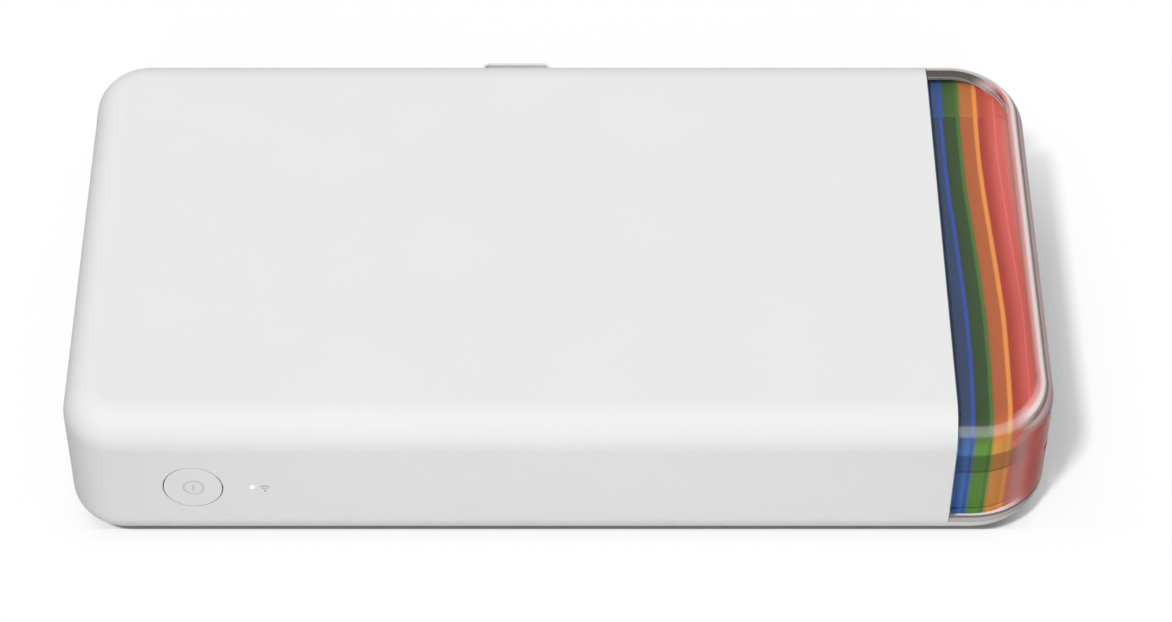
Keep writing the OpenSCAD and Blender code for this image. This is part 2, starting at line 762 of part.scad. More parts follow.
module chassis() {
  wall_y0 = plate_y0;
  rear_y = y1 - base_edge_r + 0.5;
  color("#57595c") difference() {
    union() {
      // floor
      block([bay_x0, wall_y0 - 4, chassis_z], [seam_x - 1, rear_y, deck_z]);
      // left, front and rear walls round the battery shelf
      block([bay_x0, wall_y0, chassis_z], [bay_x0 + chassis_wall, rear_y, board_z]);
      block([bay_x0, wall_y0, chassis_z], [shelf_x1, wall_y0 + chassis_wall, board_z]);
      block([bay_x0, case_y1 - 1, shelf_z], [shelf_x1, case_y1, board_z]);
      block([shelf_x1 - 1, wall_y0, shelf_z], [shelf_x1, case_y1, board_z]);
      block([bay_x0, wall_y0, shelf_z], [shelf_x1, case_y1, shelf_z + shelf_t]);
      // rear ear of the platen
      block(
        [platen[0] - 2.2, roller_y1 + 1.4, chassis_z], [platen[0] + 2.2, roller_y1 + 2.8, platen[1]]
      );
      bar(platen, 2.2, roller_y1 + 1.4, roller_y1 + 2.8);
      // slots for the button board
      for (x = [button_x - board_margin, light_x + board_margin])
        block([x - 1.4, board_y - 1.2, chassis_z], [x + 1.4, board_y + board_t + 1.2, deck_z + 8]);
      block(
        [button_x - board_margin - 1.4, board_y - 1.2, chassis_z],
        [light_x + board_margin + 1.4, wall_y0 - 3.9, deck_z]
      );
    }
    // window under the platen
    block(
      [platen[0] - platen_r - 0.5, wall_y0 + 1.4, 0], [platen[0] + platen_r + 0.5, roller_y1 + 1, deck_z + eps]
    );
    bar(platen, thin_shaft_r + fit, roller_y1, roller_y1 + 4);
    // clearance dips under the low gears
    for (g = [[capstan, capstan_teeth], [reduction, reduction_teeth], [pickup, pickup_teeth]])
      bar(g[0], pitch_r(g[1]) + addendum + 0.5, wall_y0 - 5, plate_y0 - eps);
    block(
      [button_x - board_margin - 0.1, board_y - 0.1, deck_z + 0.3],
      [light_x + board_margin + 0.1, board_y + board_t + 0.1, far]
    );
    for (p = cover_screws_at) translate([p[0], p[1], 0]) cylinder(r = boss_r + 0.9, h = far);
  }
}

// Shafts that turn in the side plate, each as [place, shaft radius]
plate_shafts = [
  [capstan, shaft_r], [pinch, thin_shaft_r], [platen, thin_shaft_r], [take_up, thin_shaft_r + 0.4],
  [pickup, thin_shaft_r + 0.2], [pivot, thin_shaft_r]
];
rear_shafts = [[capstan, shaft_r], [pinch, thin_shaft_r], [pivot, thin_shaft_r]];
plate_x1 = seam_x - 2;
plate_low = deck_z + 0.1;
plate_high = pivot[1] + 2.6;

module side_plate_outline() {
  soft_rect([shelf_x1 + 0.2, plate_low], [plate_x1, spool_z + 5.3], 1.2);
  soft_rect([motor[0] + 10, plate_low + 4], [plate_x1, plate_high], 1.2);
}

module side_plate() {
  color(steel) difference() {
    union() {
      upright(plate_y1, plate_t) side_plate_outline();
      // bent foot that stands on the chassis
      block([feed[0], plate_y0 - 4, deck_z], [motor[0] + 1.5, plate_y1, deck_z + plate_t]);
    }
    for (s = plate_shafts) bar(s[0], s[1] + bush_t, plate_y0 - 1, plate_y1 + 1);
    for (p = concat([reduction, feed], posts_at)) bar(p, thin_shaft_r, plate_y0 - 1, plate_y1 + 1);
  }
}

module rear_plate() {
  color(steel) difference() {
    union() {
      upright(rear_plate_y + plate_t, plate_t)
        soft_rect([capstan[0] - 1.6, plate_low], [plate_x1, plate_high], 1.2);
      block(
        [capstan[0], rear_plate_y - 1.6, deck_z], [plate_x1, rear_plate_y + plate_t, deck_z + plate_t]
      );
    }
    for (s = rear_shafts) bar(s[0], s[1] + bush_t, rear_plate_y - 1, rear_plate_y + plate_t + 1);
  }
}

posts_at = [motor + [-3.5, -7], motor + [-1.6, 6.2], reduction + [-3.4, 9.4]];

module motor_plate() {
  color(steel) difference() {
    upright(motor_plate_y, plate_t) {
      soft_rect([feed[0] - 3, motor[1] - 9], [reduction[0] + 3, motor[1] + 5], 1.2);
      soft_rect([motor[0] - 5, motor[1]], [reduction[0] - 0.4, motor[1] + 8.6], 1.2);
    }
    bar(motor, 2.4, can_y - 1, motor_plate_y + 1);
    for (p = concat([reduction, feed], posts_at)) bar(p, thin_shaft_r, can_y - 1, motor_plate_y + 1);
  }
}

module spacer_posts() {
  color("#b8b08a") for (p = posts_at) {
    bar(p, thin_shaft_r + 0.4, motor_plate_y, plate_y0);
    bar(p, thin_shaft_r, can_y, plate_y1);
  }
}

module gear_studs() {
  color(steel) for (p = [reduction, feed]) bar(p, thin_shaft_r, can_y, plate_y1);
}

module roller_bushes() {
  color(acetal) {
    for (s = plate_shafts) tube(s[0], s[1] + bush_t, s[1] + fit, plate_y0, plate_y1 + 0.2);
    for (s = rear_shafts)
      tube(s[0], s[1] + bush_t, s[1] + fit, rear_plate_y - 0.2, rear_plate_y + plate_t);
  }
}

// --- motor and gear train --------------------------------------------------------------------

module motor_can() {
  color("#b4b6b8") difference() {
    union() {
      bar(motor, can_r, can_y - can_h, can_y);
      bar(motor, 2.4 - fit, can_y - 1, can_y + 0.6);
      // connector block under the can
      block([motor[0] - 3.5, can_y - can_h + 1, motor[1] - can_r - 1.6], [motor[0] + 3.5, can_y - 1.4, motor[1]]);
    }
    bar(motor, motor_shaft_r + fit, can_y - 3, can_y + 1);
  }
}

motor_shaft_r = 0.75;

module motor_pinion() {
  color("#c9a24e") {
    gear(motor, small_teeth, motor_turn, gear_b_y, gear_b_w);
    bar(motor, motor_shaft_r, can_y - 2.6, gear_b_y + 0.2);
  }
}

// Two gears moulded as one, running on a stud
module compound(c, big_n, big_turn, small_n, small_turn) {
  difference() {
    union() {
      gear(c, big_n, big_turn, gear_b_y, gear_b_w);
      gear(c, small_n, small_turn, gear_a_y, gear_a_w + play + eps);
    }
    bar(c, thin_shaft_r + fit, gear_b_y - 5, gear_a_y + 1);
    tube(
      c, pitch_r(big_n) - 1.4, pitch_r(small_n) + 0.7,
      gear_b_y - gear_b_w - 1, gear_b_y - gear_b_w + 0.4
    );
  }
}

module reduction_gear() {
  color(acetal) compound(reduction, reduction_teeth, reduction_big_turn, small_teeth, reduction_turn);
}

module feed_gear() {
  color(acetal) compound(feed, feed_teeth, feed_turn, small_teeth, feed_small_turn);
}

module pickup_gear() {
  color(acetal) difference() {
    gear(pickup, pickup_teeth, pickup_turn, gear_a_y, gear_a_w);
    bar(pickup, thin_shaft_r + 0.2, gear_a_y - 5, gear_a_y + 1);
    web_holes(pickup, 5, 1.3, 6, gear_a_y - 5, gear_a_y + 1);
  }
}

module capstan_gear() {
  color(acetal) difference() {
    gear(capstan, capstan_teeth, capstan_turn, gear_a_y, gear_a_w);
    bar(capstan, shaft_r, gear_a_y - 5, gear_a_y + 1);
    web_holes(capstan, 3.6, 0.8, 6, gear_a_y - 5, gear_a_y + 1);
  }
}

module take_up_gear() {
  dog_r = core_r - 0.9;
  color(acetal) {
    gear(take_up, take_up_teeth, take_up_turn, gear_a_y, gear_a_w);
    bar(take_up, thin_shaft_r + 0.4, gear_a_y - eps, case_y0 + 0.9);
    // splined nose that drives the spool
    bar(take_up, dog_r - 0.4, case_y0, case_y0 + 3.4);
    for (turn = [0, 60, 120]) translate([take_up[0], case_y0 + 0.9 + 1.1, take_up[1]])
      rotate([0, turn, 0]) cube([2 * dog_r - 0.2, 2.4, 0.5], center = true);
  }
}

// --- rollers ---------------------------------------------------------------------------------

module capstan_roller() {
  color(steel) {
    bar(capstan, shaft_r, shaft_end_y - 0.2, rear_plate_y + plate_t + 0.3);
    bar(capstan, capstan_r, roller_y0, roller_y1);
  }
}

module pinch_roller() {
  color("#8d8f92") {
    bar(pinch, thin_shaft_r, plate_y0 - 0.1, rear_plate_y + plate_t + 0.3);
    for (i = [0 : 2])
      bar(pinch, pinch_r, roller_y0 + i * 19, roller_y0 + i * 19 + 14);
  }
}

module platen_shaft() {
  color(steel) bar(platen, thin_shaft_r, plate_y0 - 0.1, roller_y1 + 2.6);
}

module platen_rubber() {
  color(ink) tube(platen, platen_r, thin_shaft_r, roller_y0, roller_y1);
}

tyre_w = 4;
tyres_y = [(paper_y0 + paper_y1) / 2 - 10, (paper_y0 + paper_y1) / 2 + 4];

module pickup_shaft() {
  color(steel) bar(pickup, thin_shaft_r + 0.2, shaft_end_y - 0.2, tyres_y[1] + tyre_w + 1);
}

module pickup_tyres() {
  color(ink) for (y = tyres_y) tube(pickup, pickup_r, thin_shaft_r + 0.2, y, y + tyre_w);
}

// --- print head ------------------------------------------------------------------------------

glaze_r = 0.35;
film_t = 0.12;                // ribbon film
film_gap = 0.2;               // air between the film and the platen or the lowered head
head_x = platen[0] - 0.75;
// Parked height of the heater line: the head comes down to the platen over its whole swing
head_low = platen_top + film_t + 2 * film_gap + (pivot[0] - head_x) * tan(head_swing);
head_y0 = roller_y0 + 0.2;
head_y1 = roller_y1 - 0.2;

module print_head() {
  color("#e6e2d6") {
    block([head_x - 4, head_y0, head_low + glaze_r], [head_x + 2.2, head_y1, head_low + 1.1]);
    bar([head_x, head_low + glaze_r + 0.02], glaze_r, head_y0 + 0.6, head_y1 - 0.6);
  }
}

module heat_sink() {
  fin_t = 0.7;
  fins = 5;
  fin_step = (bracket_z - head_low - 1.1 - fin_t - play) / (fins - 1);
  color("#aeb3b8") upright(head_y1, head_y1 - head_y0) {
    translate([head_x - 0.8, head_low + 1.1]) square([2.6, bracket_z - head_low - 1.1]);
    for (i = [0 : fins - 1]) translate([head_x - 3.8, head_low + 1.1 + i * fin_step])
      square([3.2, fin_t]);
  }
}

module head_bracket() {
  ear_t = plate_t;
  color(steel) difference() {
    union() {
      block([head_x - 4, head_y0, bracket_z], [pivot[0], head_y1, bracket_z + plate_t]);
      for (y = [head_y0 + ear_t, head_y1]) {
        upright(y, ear_t) {
          translate(pivot) circle(r = 2);
          translate([pivot[0] - 6, pivot[1]]) square([6 + 2, bracket_z + plate_t - pivot[1]]);
        }
      }
    }
    bar(pivot, thin_shaft_r, head_y0 - 1, head_y1 + 1);
  }
}

module head_pivot() {
  color(steel) bar(pivot, thin_shaft_r, plate_y0 - 0.1, rear_plate_y + plate_t + 0.1);
}

module head_spring() {
  color("#77797d") {
    tube(pivot, thin_shaft_r + 0.7, thin_shaft_r + 0.15, head_y0 + 1.4, head_y0 + 9);
    // leg that bears on the bracket
    block(
      [pivot[0] - 9, head_y0 + 8.4, bracket_z - 0.55], [pivot[0] - 0.2, head_y0 + 9, bracket_z]
    );
  }
}

module head_flex() {
  y_mid = (paper_y0 + paper_y1) / 2;
  x_end = head_x - 4.4;
  color("#d8a24a") upright(y_mid + 9, 18) polygon([
    [board_x1 - 8, board_top], [board_x1 - 8, board_top + 0.2], [board_x1 + 2, board_top + 0.2],
    [board_x1 + 8, bracket_z + plate_t + 0.2], [x_end, bracket_z + plate_t + 0.2],
    [x_end, bracket_z + plate_t], [board_x1 + 8.2, bracket_z + plate_t], [board_x1 + 2.2, board_top]
  ]);
}

// --- cartridge -------------------------------------------------------------------------------

// An end plate of the cartridge, as an outline in X and Z
module case_end() {
  translate([tray_x0, case_z]) square([lid_x1 - tray_x0, case_top_z - case_z]);
  translate([tray_x0, case_z]) square([tray_x1 - tray_x0, stack_z + 3.1 - case_z]);
  translate([supply[0] - 4.4, case_z + 1]) square([8.8, spool_z - case_z - 1]);
  translate(supply) circle(r = housing_r);
  translate([supply[0], bar_z0]) square([take_up[0] - supply[0] + 2, bar_z1 - bar_z0]);
  translate(take_up) circle(r = housing_r);
  translate([take_up[0] - 3, bar_z0]) square([6, spool_z - bar_z0]);
}

module spool_housing(c, slit_from, slit_to) {
  difference() {
    tube(c, housing_r, housing_r - 0.7, case_y0, case_y1);
    // slit that lets the ribbon out towards the head
    translate([c[0], case_y1 - case_t, c[1]]) rotate([90, 0, 0]) linear_extrude(cartridge_w - 2 * case_t)
      polygon([[0, 0], polar(9, slit_from), polar(12, (slit_from + slit_to) / 2), polar(9, slit_to)]);
  }
}

module cartridge_case() {
  color(ink) difference() {
    union() {
      for (y = [case_y0 + case_t, case_y1]) upright(y, case_t) case_end();
      // tray
      block([tray_x0, case_y0, case_z], [tray_x1, case_y1, stack_z]);
      block([tray_x0, case_y0, case_z], [tray_x0 + case_t, case_y1, case_top_z]);
      block([tray_x1 - case_t, case_y0, case_z], [tray_x1, case_y1, stack_z + 2.4]);
      block([tray_x0, case_y0, case_top_z - 0.8], [lid_x1, case_y1, case_top_z]);
      spool_housing(supply, 270, 330);
      spool_housing(take_up, 200, 262);
    }
    // bearings of the spools
    bar(supply, spool_pin_r + fit, case_y0 - 1, case_y1 + 1);
    bar(take_up, spool_pin_r + fit, case_y1 - 3, case_y1 + 1);
    bar(take_up, thin_shaft_r + 0.4 + play, case_y0 - 1, case_y0 + 3);
    // finger grooves in the end that faces the door
    for (i = [0 : 4]) block(
      [tray_x0 + 36 + i * 3, case_y1 - 0.4, case_z + 1.6], [tray_x0 + 37.4 + i * 3, case_y1 + 1, case_top_z - 1.4]
    );
  }
}

spool_pin_r = 1.2;
core_y0 = case_y0 + case_t + 0.35;
core_y1 = case_y1 - case_t - 0.35;

module supply_core() {
  color("#d9d9d6") {
    bar(supply, core_r, core_y0, core_y1);
    bar(supply, spool_pin_r, case_y0 + 0.1, case_y1 - 0.1);
  }
}

module take_up_core() {
  color("#d9d9d6") difference() {
    union() {
      bar(take_up, core_r, core_y0, core_y1);
      bar(take_up, spool_pin_r, core_y1 - 1, case_y1 - 0.1);
    }
    bar(take_up, core_r - 0.7, core_y0 - 1, case_y0 + 4);
  }
}

module supply_roll() {
  color("#5b3a6e") tube(supply, supply_roll_r, core_r, roller_y0, roller_y1);
}

module take_up_roll() {
  color("#5b3a6e") tube(take_up, take_up_roll_r, core_r, roller_y0, roller_y1);
}

module ribbon_web() {
  low = platen_top + film_gap;
  path = [
    supply + [2.6, -supply_roll_r - 0.2], [head_x - 5, low], [head_x + 2.9, low],
    take_up + [-2.6, -take_up_roll_r - 0.4]
  ];
  color("#5b3a6e") upright(roller_y1, roller_y1 - roller_y0)
    polygon(concat(path, [for (i = [3 : -1 : 0]) path[i] + [0, film_t]]));
}

module paper_stack() {
  color("#f6f5f1") block(
    [stack_x0, paper_y0, stack_z], [stack_x0 + paper_l, paper_y1, stack_top]
  );
}

// The tab stands out at the rear only, so everything moves forward by half of it
module placed() {
  translate([0, -tab_out / 2, 0]) children();
}

placed() top_cover();
placed() bottom_cover();
placed() end_cap();
placed() tint_liner();
placed() exit_guide();
placed() cartridge_door();
placed() door_spring();
placed() door_catch();
placed() hinge_pins();
placed() power_button();
placed() switch_plunger();
placed() power_switch();
placed() button_board();
placed() status_lens();
placed() main_board();
placed() board_chips();
placed() usb_socket();
placed() battery_pack();
placed() rubber_feet();
placed() case_screws();
placed() chassis();
placed() side_plate();
placed() rear_plate();
placed() motor_plate();
placed() spacer_posts();
placed() gear_studs();
placed() roller_bushes();
placed() motor_can();
placed() motor_pinion();
placed() reduction_gear();
placed() feed_gear();
placed() pickup_gear();
placed() pickup_shaft();
placed() pickup_tyres();
placed() capstan_roller();
placed() capstan_gear();
placed() pinch_roller();
placed() platen_shaft();
placed() platen_rubber();
placed() print_head();
placed() heat_sink();
placed() head_bracket();
placed() head_pivot();
placed() head_spring();
placed() head_flex();
placed() cartridge_case();
placed() supply_core();
placed() supply_roll();
placed() take_up_core();
placed() take_up_roll();
placed() take_up_gear();
placed() ribbon_web();
placed() paper_stack();
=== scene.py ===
# Looks of the compact photo printer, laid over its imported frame
import math
import bpy
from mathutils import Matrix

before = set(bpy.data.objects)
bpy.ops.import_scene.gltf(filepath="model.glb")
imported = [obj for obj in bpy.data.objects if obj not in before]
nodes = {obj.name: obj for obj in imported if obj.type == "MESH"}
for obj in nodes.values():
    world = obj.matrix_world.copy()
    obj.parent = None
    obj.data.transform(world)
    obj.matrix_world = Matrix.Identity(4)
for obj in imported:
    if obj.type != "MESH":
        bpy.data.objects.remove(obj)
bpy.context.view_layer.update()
print("frame loaded with", len(nodes), "nodes")

# camera
cameraValues = {
    "place": (0, -0.39471, 0.44404), "tilt": 41.54, "sensor": 36, "lens": 112.96,
    "shiftX": 0.02265, "shiftY": 0.0311, "clipStart": 0.01,
}
cameraData = bpy.data.cameras.new("photoCamera")
cameraData.sensor_width = cameraValues["sensor"]
cameraData.lens = cameraValues["lens"]
cameraData.shift_x = cameraValues["shiftX"]
cameraData.shift_y = cameraValues["shiftY"]
cameraData.clip_start = cameraValues["clipStart"]
photoCamera = bpy.data.objects.new("photoCamera", cameraData)
bpy.context.scene.collection.objects.link(photoCamera)
photoCamera.location = cameraValues["place"]
photoCamera.rotation_euler = (math.radians(cameraValues["tilt"]), 0, 0)
bpy.context.scene.camera = photoCamera
print("camera placed")


# node helpers, all lengths in millimetres of the object's own coordinates
def millimetres(tree):
    place = tree.nodes.new("ShaderNodeTexCoord")
    scale = tree.nodes.new("ShaderNodeVectorMath")
    scale.operation = "SCALE"
    scale.inputs["Scale"].default_value = 1000
    tree.links.new(place.outputs["Object"], scale.inputs[0])
    return scale.outputs[0]


def startMaterial(name):
    mat = bpy.data.materials.new(name)
    mat.use_nodes = True
    tree = mat.node_tree
    return mat, tree, tree.nodes["Principled BSDF"], millimetres(tree)


def math2(tree, kind, a, b=None):
    node = tree.nodes.new("ShaderNodeMath")
    node.operation = kind
    for socket, value in zip(node.inputs, (a, b)):
        if isinstance(value, (int, float)):
            socket.default_value = value
        elif value is not None:
            tree.links.new(value, socket)
    return node.outputs[0]


def times(tree, a, b):
    return math2(tree, "MULTIPLY", a, b)


def larger(tree, a, b):
    return math2(tree, "MAXIMUM", a, b)


def minus(tree, a, b):
    return math2(tree, "SUBTRACT", a, b)


def noiseOf(tree, place, perMm, detail=2.0, stretch=(1, 1, 1), rough=0.5):
    mapping = tree.nodes.new("ShaderNodeMapping")
    mapping.inputs["Scale"].default_value = stretch
    noise = tree.nodes.new("ShaderNodeTexNoise")
    noise.inputs["Scale"].default_value = perMm
    noise.inputs["Detail"].default_value = detail
    noise.inputs["Roughness"].default_value = rough
    tree.links.new(place, mapping.inputs["Vector"])
    tree.links.new(mapping.outputs[0], noise.inputs["Vector"])
    return noise.outputs["Fac"]


def spread(tree, value, low, high, fromLow=0.3, fromHigh=0.7, smooth=False):
    node = tree.nodes.new("ShaderNodeMapRange")
    if smooth:
        node.interpolation_type = "SMOOTHSTEP"
    node.inputs["From Min"].default_value = fromLow
    node.inputs["From Max"].default_value = fromHigh
    node.inputs["To Min"].default_value = low
    node.inputs["To Max"].default_value = high
    tree.links.new(value, node.inputs["Value"])
    return node.outputs[0]


# the two colours mixed, or with multiply the first one times the second where factor is 1
def mixColours(tree, factor, first, second, multiply=False):
    node = tree.nodes.new("ShaderNodeMix")
    node.data_type = "RGBA"
    if multiply:
        node.blend_type = "MULTIPLY"
        node.clamp_result = True
    tree.links.new(factor, node.inputs[0])
    for socket, value in ((node.inputs[6], first), (node.inputs[7], second)):
        if isinstance(value, (tuple, list)):
            socket.default_value = (*value, 1)
        else:
            tree.links.new(value, socket)
    return node.outputs[2]


def mixSurfaces(tree, factor, first, second, output="Material Output"):
    mix = tree.nodes.new("ShaderNodeMixShader")
    for socket, value in zip(mix.inputs, (factor, first.outputs[0], second.outputs[0])):
        tree.links.new(value, socket)
    tree.links.new(mix.outputs[0], tree.nodes[output].inputs["Surface"])


def bumpFrom(tree, shader, height, depth):
    bump = tree.nodes.new("ShaderNodeBump")
    bump.inputs["Strength"].default_value = 1
    bump.inputs["Distance"].default_value = depth
    tree.links.new(height, bump.inputs["Height"])
    tree.links.new(bump.outputs[0], shader.inputs["Normal"])


def roughFrom(tree, shader, place, perMm, low, high):
    grain = noiseOf(tree, place, perMm)
    tree.links.new(spread(tree, grain, low, high), shader.inputs["Roughness"])


def splitPlace(tree, place):
    node = tree.nodes.new("ShaderNodeSeparateXYZ")
    tree.links.new(place, node.inputs[0])
    return node.outputs[0], node.outputs[1], node.outputs[2]


def lengthOf(tree, a, b):
    return math2(tree, "SQRT", math2(tree, "ADD", times(tree, a, a), times(tree, b, b)))


# a soft-edged line of half width half where value passes at
def lineAt(tree, value, at, half, soft=0.04):
    off = math2(tree, "ABSOLUTE", minus(tree, value, at))
    return spread(tree, off, 1, 0, half - soft, half + soft, True)


# what the camera sees, straight or by a mirror or glass, but not what lights the object
def seenRays(tree):
    rays = tree.nodes.new("ShaderNodeLightPath")
    mirrored = larger(tree, rays.outputs["Is Camera Ray"], rays.outputs["Is Glossy Ray"])
    return larger(tree, mirrored, rays.outputs["Is Transmission Ray"])


# a finish is two colours, a roughness range and what it changes of these values
plainFinish = {
    "patches": 0.08, "grain": 6, "stretch": (1, 1, 1), "speck": 0, "speckFrom": (0.45, 0.7),
    "depth": 0.00002, "metal": 0, "ior": 1.5, "gloss": 0.5, "coat": 0, "coatRough": 0.1,
    "under": 0, "underScale": 0.0008,
}


def makeFinish(name, changes):
    values = {**plainFinish, **changes}
    mat, tree, shader, place = startMaterial(name)
    patches = noiseOf(tree, place, values["patches"], 3)
    colour = mixColours(tree, spread(tree, patches, 0, 1), values["colour"], values["second"])
    grain = noiseOf(tree, place, values["grain"], 3, values["stretch"], 0.6)
    if values["speck"]:
        flecks = spread(tree, grain, 0, values["speck"], *values["speckFrom"])
        colour = mixColours(tree, flecks, colour, values["speckColour"])
    tree.links.new(colour, shader.inputs["Base Color"])
    tree.links.new(spread(tree, grain, *values["rough"]), shader.inputs["Roughness"])
    bumpFrom(tree, shader, grain, values["depth"])
    shader.inputs["Metallic"].default_value = values["metal"]
    shader.inputs["IOR"].default_value = values["ior"]
    shader.inputs["Specular IOR Level"].default_value = values["gloss"]
    shader.inputs["Coat Weight"].default_value = values["coat"]
    shader.inputs["Coat Roughness"].default_value = values["coatRough"]
    if values["under"]:
        shader.inputs["Subsurface Weight"].default_value = values["under"]
        shader.inputs["Subsurface Radius"].default_value = (1, 1, 1)
        shader.inputs["Subsurface Scale"].default_value = values["underScale"]
    return mat


def dress(mat, *names):
    for name in names:
        mesh = nodes[name].data
        mesh.materials.clear()
        mesh.materials.append(mat)


# white covers: satin plastic with a very fine grain
shellValues = {
    "colour": (0.805, 0.805, 0.805), "second": (0.815, 0.815, 0.815), "rough": (0.46, 0.54),
    "grain": 9, "depth": 0.000003, "patches": 0.05, "ior": 1.3, "gloss": 0.2,
}


# the white finish, with what is needed to paint over a part of it
def startWhite(name):
    mat = makeFinish(name, shellValues)
    tree = mat.node_tree
    return mat, tree, tree.nodes["Principled BSDF"], millimetres(tree)


def paintOver(tree, shader, share, hue):
    plain = shader.inputs["Base Color"].links[0].from_socket
    tree.links.new(mixColours(tree, share, plain, hue), shader.inputs["Base Color"])


# the door's pull tab has a scoop that lies in the shade, and that shade is painted into it as grey
scoopShadeValues = {
    "x": -7.05, "half": 5.15, "rows": (38.84, 40.86), "below": 22.3, "colour": (0.60, 0.60, 0.60),
}
doorWhite, tree, shader, place = startWhite("doorWhite")
x, y, z = splitPlace(tree, place)
low, high = scoopShadeValues["rows"]
scoopShade = times(
    tree, lineAt(tree, x, scoopShadeValues["x"], scoopShadeValues["half"]),
    lineAt(tree, y, (low + high) / 2, (high - low) / 2),
)
scoopShade = times(tree, scoopShade, math2(tree, "LESS_THAN", z, scoopShadeValues["below"]))
# painted shade: grey over the scoop's floor
paintOver(tree, shader, scoopShade, scoopShadeValues["colour"])
dress(doorWhite, "cartridge_door")


# a point seen from the middle of a printed mark, and whether it lies on the front face
def fromMark(tree, place, values):
    x, y, z = splitPlace(tree, place)
    onFront = math2(tree, "LESS_THAN", y, values["frontY"])
    return minus(tree, x, values["x"]), minus(tree, z, values["z"]), onFront


# beside the status light the cover carries a small printed mark: a dot and two arcs
signalValues = {
    "x": -44.6, "z": 12.4, "dot": 0.2, "soft": 0.04, "rings": (0.62, 1.12), "half": 0.11,
    "open": 0.75, "frontY": -41.1, "colour": (0.42, 0.42, 0.43),
}
coverWhite, tree, shader, place = startWhite("coverWhite")
dx, dz, onFront = fromMark(tree, place, signalValues)
away = lengthOf(tree, dx, dz)
dot, soft = signalValues["dot"], signalValues["soft"]
mark = spread(tree, away, 1, 0, dot - soft, dot + soft, True)
sector = math2(tree, "GREATER_THAN", dz, times(tree, away, signalValues["open"]))
for radius in signalValues["rings"]:
    arc = times(tree, lineAt(tree, away, radius, signalValues["half"]), sector)
    mark = larger(tree, mark, arc)
paintOver(tree, shader, times(tree, mark, onFront), signalValues["colour"])
dress(coverWhite, "top_cover")

# the button carries a plain power mark, sunk a little into its face
markValues = {
    "x": -55.4, "z": 13.1, "ring": 1.5, "half": 0.12, "bar": 0.65, "frontY": -41.1,
    "colour": (0.63, 0.63, 0.64), "depth": 0.00005,
}
buttonWhite, tree, shader, place = startWhite("buttonWhite")
dx, dz, onFront = fromMark(tree, place, markValues)
ring = lineAt(tree, lengthOf(tree, dx, dz), markValues["ring"], markValues["half"])
barSide = lineAt(tree, dx, 0, markValues["half"])
barEnd = lineAt(tree, dz, 0, markValues["bar"])
mark = times(tree, larger(tree, ring, times(tree, barSide, barEnd)), onFront)
paintOver(tree, shader, mark, markValues["colour"])
bumpFrom(tree, shader, minus(tree, 1, mark), markValues["depth"])
dress(buttonWhite, "power_button")
print("white covers dressed")

# tinted liner: hues flow into each other along the cap in slow waves. The top's hues are darker
# than the front's, painted shade for the coloured shadow the liner casts on the guide below it;
# behind the step near the rear the top is paler, painted light where that guide ends. Fine lighter
# lines that follow the waves are painted light: the bright edge of each hue's light on the guide
filmValues = {
    "from": 58.5, "to": 74.0, "wave": 0.5, "length": 13.0, "wander": 0.5, "wanderGrain": 0.05,
    "topFrom": (20, 24.5),
    "topShadedHues": [
        (0.00, (0.050, 0.075, 0.150)),
        (0.20, (0.055, 0.090, 0.180)),
        (0.25, (0.055, 0.095, 0.045)),
        (0.36, (0.060, 0.110, 0.045)),
        (0.44, (0.520, 0.160, 0.065)),
        (0.54, (0.560, 0.165, 0.065)),
        (0.61, (0.480, 0.075, 0.055)),
        (0.80, (0.840, 0.180, 0.160)),
        (0.91, (1.000, 0.340, 0.310)),
    ],
    "frontHues": [
        (0.00, (0.045, 0.140, 0.520)),
        (0.20, (0.055, 0.190, 0.500)),
        (0.27, (0.110, 0.280, 0.050)),
        (0.38, (0.130, 0.300, 0.050)),
        (0.46, (0.750, 0.330, 0.070)),
        (0.56, (0.800, 0.300, 0.060)),
        (0.65, (0.720, 0.130, 0.060)),
        (0.92, (0.900, 0.120, 0.080)),
    ],
    "paintedLightLines": [
        (0.215, 0.018, (0.060, 0.110, 0.440)),
        (0.390, 0.016, (0.090, 0.230, 0.060)),
        (0.575, 0.022, (0.950, 0.380, 0.110)),
        (0.770, 0.006, (0.900, 0.240, 0.220)),
    ],
    "paintedLightSoft": 0.5,
    "step": 26.2, "stepSoft": 0.2, "stepPaintedPale": 0.3, "stepLine": (0.22, 0.12), "stepDeep": 0.6,
    "ledgeShade": (14.7, 18.5, 0.1, 0.3, (0.68, 0.68, 0.68)),
    "shoulderLight": (18.6, 24.0, 0.1, 1.0, (1.5, 1.4, 1.2)),
    "slotLine": (14.7, 0.14, 0.08), "slotDeep": 0.6, "slotShadeHue": (0.05, 0.03, 0.02),
    "slotDepth": 0.0001, "rough": (5, 0.16, 0.24),
    "clear": 0.10, "shadowClear": 0.08, "gloss": 0.10,
}


def hueRamp(tree, factor, hues):
    ramp = tree.nodes.new("ShaderNodeValToRGB")
    ramp.color_ramp.interpolation = "EASE"
    while len(ramp.color_ramp.elements) < len(hues):
        ramp.color_ramp.elements.new(0.5)
    for stop, (at, hue) in zip(ramp.color_ramp.elements, hues):
        stop.position = at
        stop.color = (*hue, 1)
    tree.links.new(factor, ramp.inputs[0])
    return ramp.outputs[0]


